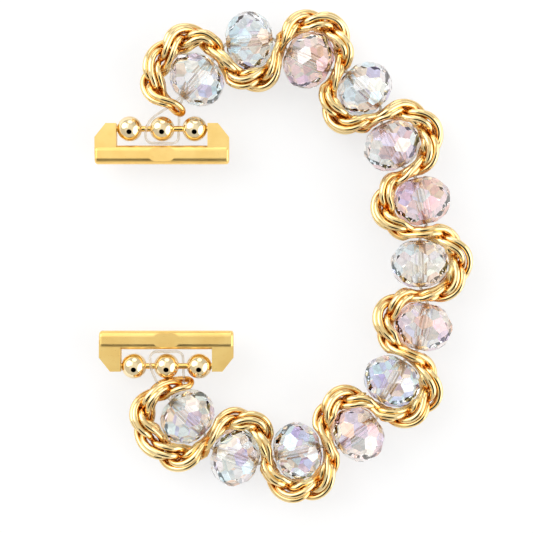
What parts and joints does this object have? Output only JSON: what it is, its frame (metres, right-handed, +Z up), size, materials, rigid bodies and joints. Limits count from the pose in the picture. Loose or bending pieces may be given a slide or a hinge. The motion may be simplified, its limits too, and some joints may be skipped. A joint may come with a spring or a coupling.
{
  "type": "watch band",
  "caption": "Elastic watch band of faceted crystal beads with a twisted gold chain woven round them, between two slide-in adapters with gold balls.",
  "frame": {"origin": "on the surface the band lies on, below the middle of its box", "axes": "+Z up from the surface; +Y from the last adapter towards the first; +X towards the middle bead"},
  "size_m": [0.0634, 0.083, 0.01],
  "materials": {
    "crystal": "cut and polished, iridescent coating",
    "cord": "clear elastic cord",
    "polished_gold": "polished gold plate",
    "satin_gold": "satin gold plate",
    "steel_pin": "drawn, gold plated",
    "spring_steel": "spring temper"
  },
  "bodies": {
    "bead_link_07": {"elastic_cord_07": "cord", "chain_links_07": "polished_gold"},
    "bead_link_01": {"elastic_cord_01": "cord", "chain_links_01": "polished_gold"},
    "bead_01": {"crystal_bead_01": "crystal"},
    "bead_link_02": {"elastic_cord_02": "cord", "chain_links_02": "polished_gold"},
    "bead_02": {"crystal_bead_02": "crystal"},
    "bead_link_03": {"elastic_cord_03": "cord", "chain_links_03": "polished_gold"},
    "bead_03": {"crystal_bead_03": "crystal"},
    "bead_link_04": {"elastic_cord_04": "cord", "chain_links_04": "polished_gold"},
    "bead_04": {"crystal_bead_04": "crystal"},
    "bead_link_05": {"elastic_cord_05": "cord", "chain_links_05": "polished_gold"},
    "bead_05": {"crystal_bead_05": "crystal"},
    "bead_link_06": {"elastic_cord_06": "cord", "chain_links_06": "polished_gold"},
    "bead_06": {"crystal_bead_06": "crystal"},
    "bead_07": {"crystal_bead_07": "crystal"},
    "bead_link_08": {"elastic_cord_08": "cord", "chain_links_08": "polished_gold"},
    "bead_08": {"crystal_bead_08": "crystal"},
    "bead_link_09": {"elastic_cord_09": "cord", "chain_links_09": "polished_gold"},
    "bead_09": {"crystal_bead_09": "crystal"},
    "bead_link_10": {"elastic_cord_10": "cord", "chain_links_10": "polished_gold"},
    "bead_10": {"crystal_bead_10": "crystal"},
    "bead_link_11": {"elastic_cord_11": "cord", "chain_links_11": "polished_gold"},
    "bead_11": {"crystal_bead_11": "crystal"},
    "bead_link_12": {"elastic_cord_12": "cord", "chain_links_12": "polished_gold"},
    "bead_12": {"crystal_bead_12": "crystal"},
    "bead_link_13": {"elastic_cord_13": "cord", "chain_links_13": "polished_gold"},
    "bead_13": {"crystal_bead_13": "crystal"},
    "first_adapter": {"first_adapter": "satin_gold", "first_cross_pin": "steel_pin", "first_lock_spring": "spring_steel", "first_retaining_plate": "satin_gold"},
    "first_ball_1": {"first_ball_1": "polished_gold"},
    "first_ball_2": {"first_ball_2": "polished_gold"},
    "first_ball_3": {"first_ball_3": "polished_gold"},
    "first_lock_button": {"first_lock_button": "satin_gold"},
    "last_adapter": {"last_adapter": "satin_gold", "last_cross_pin": "steel_pin", "last_lock_spring": "spring_steel", "last_retaining_plate": "satin_gold"},
    "last_ball_1": {"last_ball_1": "polished_gold"},
    "last_ball_2": {"last_ball_2": "polished_gold"},
    "last_ball_3": {"last_ball_3": "polished_gold"},
    "last_lock_button": {"last_lock_button": "satin_gold"}
  },
  "joints": [
    {"name": "side_bend_01", "type": "hinge", "parent": "bead_link_02", "child": "bead_link_01", "pos_m": [-0.01041, 0.0344, 0.005], "axis": [0, 0, -1], "range_deg": [-4, 10]},
    {"name": "wrap_bend_02", "type": "hinge", "parent": "bead_link_03", "child": "bead_link_02", "pos_m": [0.00003, 0.0355, 0.005], "axis": [0.165, 0.9863, 0], "range_deg": [-15, 15]},
    {"name": "side_bend_03", "type": "hinge", "parent": "bead_link_04", "child": "bead_link_03", "pos_m": [0.01009, 0.03081, 0.005], "axis": [0, 0, -1], "range_deg": [-6, 10]},
    {"name": "wrap_bend_04", "type": "hinge", "parent": "bead_link_05", "child": "bead_link_04", "pos_m": [0.01698, 0.02342, 0.005], "axis": [0.8216, 0.57, 0], "range_deg": [-15, 15]},
    {"name": "side_bend_05", "type": "hinge", "parent": "bead_link_06", "child": "bead_link_05", "pos_m": [0.02193, 0.01349, 0.005], "axis": [0, 0, -1], "range_deg": [-6, 10]},
    {"name": "wrap_bend_06", "type": "hinge", "parent": "bead_link_07", "child": "bead_link_06", "pos_m": [0.02412, 0.00363, 0.005], "axis": [0.9931, 0.1175, 0], "range_deg": [-15, 15]},
    {"name": "side_bend_07", "type": "hinge", "parent": "bead_link_07", "child": "bead_link_08", "pos_m": [0.02431, -0.00747, 0.005], "axis": [0, 0, 1], "range_deg": [-6, 10]},
    {"name": "wrap_bend_08", "type": "hinge", "parent": "bead_link_08", "child": "bead_link_09", "pos_m": [0.02221, -0.01735, 0.005], "axis": [0.932, -0.3624, 0], "range_deg": [-15, 15]},
    {"name": "side_bend_09", "type": "hinge", "parent": "bead_link_09", "child": "bead_link_10", "pos_m": [0.01658, -0.02691, 0.005], "axis": [0, 0, 1], "range_deg": [-6, 10]},
    {"name": "wrap_bend_10", "type": "hinge", "parent": "bead_link_10", "child": "bead_link_11", "pos_m": [0.00856, -0.03306, 0.005], "axis": [0.4187, -0.9081, 0], "range_deg": [-15, 15]},
    {"name": "side_bend_11", "type": "hinge", "parent": "bead_link_11", "child": "bead_link_12", "pos_m": [-0.00229, -0.03537, 0.005], "axis": [0, 0, 1], "range_deg": [-6, 10]},
    {"name": "wrap_bend_12", "type": "hinge", "parent": "bead_link_12", "child": "bead_link_13", "pos_m": [-0.01187, -0.03216, 0.005], "axis": [-0.5225, -0.8526, 0], "range_deg": [-15, 15]},
    {"name": "bead_spin_01", "type": "hinge", "parent": "bead_link_01", "child": "bead_01", "pos_m": [-0.01424, 0.02985, 0.005], "axis": [0.6428, 0.766, 0], "continuous": true},
    {"name": "bead_spin_02", "type": "hinge", "parent": "bead_link_02", "child": "bead_02", "pos_m": [-0.00516, 0.03657, 0.005], "axis": [0.9945, 0.1045, 0], "continuous": true},
    {"name": "bead_spin_03", "type": "hinge", "parent": "bead_link_03", "child": "bead_03", "pos_m": [0.00506, 0.03316, 0.005], "axis": [0.9063, -0.4226, 0], "continuous": true},
    {"name": "bead_spin_04", "type": "hinge", "parent": "bead_link_04", "child": "bead_04", "pos_m": [0.0147, 0.02821, 0.005], "axis": [0.682, -0.7314, 0], "continuous": true},
    {"name": "bead_spin_05", "type": "hinge", "parent": "bead_link_05", "child": "bead_05", "pos_m": [0.01946, 0.01846, 0.005], "axis": [0.4462, -0.8949, 0], "continuous": true},
    {"name": "bead_spin_06", "type": "hinge", "parent": "bead_link_06", "child": "bead_06", "pos_m": [0.02459, 0.00891, 0.005], "axis": [0.2164, -0.9763, 0], "continuous": true},
    {"name": "bead_spin_07", "type": "hinge", "parent": "bead_link_07", "child": "bead_07", "pos_m": [0.02421, -0.00192, 0.005], "axis": [0.0175, -0.9998, 0], "continuous": true},
    {"name": "bead_spin_08", "type": "hinge", "parent": "bead_link_08", "child": "bead_08", "pos_m": [0.02483, -0.01274, 0.005], "axis": [-0.2079, -0.9781, 0], "continuous": true},
    {"name": "bead_spin_09", "type": "hinge", "parent": "bead_link_09", "child": "bead_09", "pos_m": [0.01939, -0.02213, 0.005], "axis": [-0.5075, -0.8616, 0], "continuous": true},
    {"name": "bead_spin_10", "type": "hinge", "parent": "bead_link_10", "child": "bead_10", "pos_m": [0.01354, -0.03125, 0.005], "axis": [-0.7934, -0.6088, 0], "continuous": true},
    {"name": "bead_spin_11", "type": "hinge", "parent": "bead_link_11", "child": "bead_11", "pos_m": [0.00314, -0.03421, 0.005], "axis": [-0.9781, -0.2079, 0], "continuous": true},
    {"name": "bead_spin_12", "type": "hinge", "parent": "bead_link_12", "child": "bead_12", "pos_m": [-0.00759, -0.03528, 0.005], "axis": [-0.9483, 0.3173, 0], "continuous": true},
    {"name": "bead_spin_13", "type": "hinge", "parent": "bead_link_13", "child": "bead_13", "pos_m": [-0.01583, -0.02827, 0.005], "axis": [-0.7133, 0.7009, 0], "continuous": true},
    {"name": "first_adapter_swing", "type": "hinge", "parent": "bead_link_01", "child": "first_adapter", "pos_m": [-0.02019, 0.02133, 0.005], "axis": [1, 0, 0], "range_deg": [-60, 60]},
    {"name": "first_ball_spin_1", "type": "hinge", "parent": "first_adapter", "child": "first_ball_1", "pos_m": [-0.02579, 0.02133, 0.005], "axis": [1, 0, 0], "continuous": true},
    {"name": "first_ball_spin_2", "type": "hinge", "parent": "first_adapter", "child": "first_ball_2", "pos_m": [-0.02019, 0.02133, 0.005], "axis": [1, 0, 0], "continuous": true},
    {"name": "first_ball_spin_3", "type": "hinge", "parent": "first_adapter", "child": "first_ball_3", "pos_m": [-0.01459, 0.02133, 0.005], "axis": [1, 0, 0], "continuous": true},
    {"name": "first_lock_press", "type": "slide", "parent": "first_adapter", "child": "first_lock_button", "axis": [0, 0, 1], "range_m": [0, 0.0005], "stiffness_N_per_m": 200, "springref_m": -0.0004, "deforming": ["first_lock_spring"]},
    {"name": "last_adapter_swing", "type": "hinge", "parent": "bead_link_13", "child": "last_adapter", "pos_m": [-0.01943, -0.01955, 0.005], "axis": [-1, 0, 0], "range_deg": [-60, 60]},
    {"name": "last_ball_spin_1", "type": "hinge", "parent": "last_adapter", "child": "last_ball_1", "pos_m": [-0.01383, -0.01955, 0.005], "axis": [-1, 0, 0], "continuous": true},
    {"name": "last_ball_spin_2", "type": "hinge", "parent": "last_adapter", "child": "last_ball_2", "pos_m": [-0.01943, -0.01955, 0.005], "axis": [-1, 0, 0], "continuous": true},
    {"name": "last_ball_spin_3", "type": "hinge", "parent": "last_adapter", "child": "last_ball_3", "pos_m": [-0.02503, -0.01955, 0.005], "axis": [-1, 0, 0], "continuous": true},
    {"name": "last_lock_press", "type": "slide", "parent": "last_adapter", "child": "last_lock_button", "axis": [0, 0, 1], "range_m": [0, 0.0005], "stiffness_N_per_m": 200, "springref_m": -0.0004, "deforming": ["last_lock_spring"]}
  ]
}
